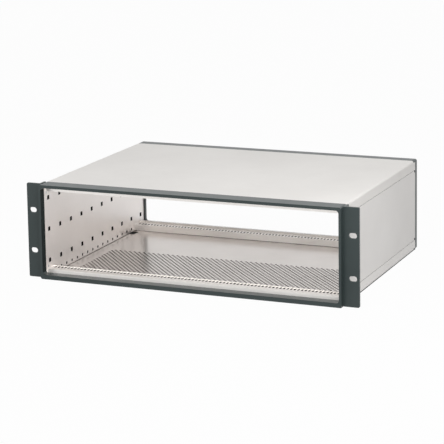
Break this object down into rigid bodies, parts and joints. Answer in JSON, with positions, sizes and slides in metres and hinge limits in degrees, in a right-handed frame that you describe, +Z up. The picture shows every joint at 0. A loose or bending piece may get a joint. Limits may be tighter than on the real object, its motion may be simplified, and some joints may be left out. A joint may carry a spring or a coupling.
{
  "type": "subrack case",
  "caption": "Open rack-mount subrack case for plug-in boards, with slotted rails, a vented bottom cover, front and rear frames and mounting ears.",
  "frame": {"origin": "on the rack's mounting plane, the back face of the ears, midway between the ears at half height", "axes": "+X across the rack to the right seen from the front, +Y into the rack, +Z up"},
  "size_m": [0.4826, 0.3354, 0.1326],
  "materials": {
    "slate_paint": "fine matt powder coat",
    "light_paint": "satin powder coat",
    "bare_aluminium": "clear passivated, satin",
    "zinc_steel": "zinc plated"
  },
  "bodies": {
    "root": {"front_frame": "slate_paint", "rear_frame": "slate_paint", "rack_ear_left": "slate_paint", "rack_ear_right": "slate_paint", "top_cover": "light_paint", "bottom_cover": "light_paint", "side_panel_left": "light_paint", "side_panel_right": "light_paint", "side_plate_left": "bare_aluminium", "side_plate_right": "bare_aluminium", "rail_front_top": "bare_aluminium", "rail_front_bottom": "bare_aluminium", "rail_rear_top": "bare_aluminium", "rail_rear_bottom": "bare_aluminium", "threaded_strip_front_top": "zinc_steel", "threaded_strip_front_bottom": "zinc_steel", "threaded_strip_rear_top": "zinc_steel", "threaded_strip_rear_bottom": "zinc_steel", "rail_screws": "zinc_steel", "ear_screws": "zinc_steel", "rear_frame_screws": "zinc_steel"}
  },
  "joints": []
}
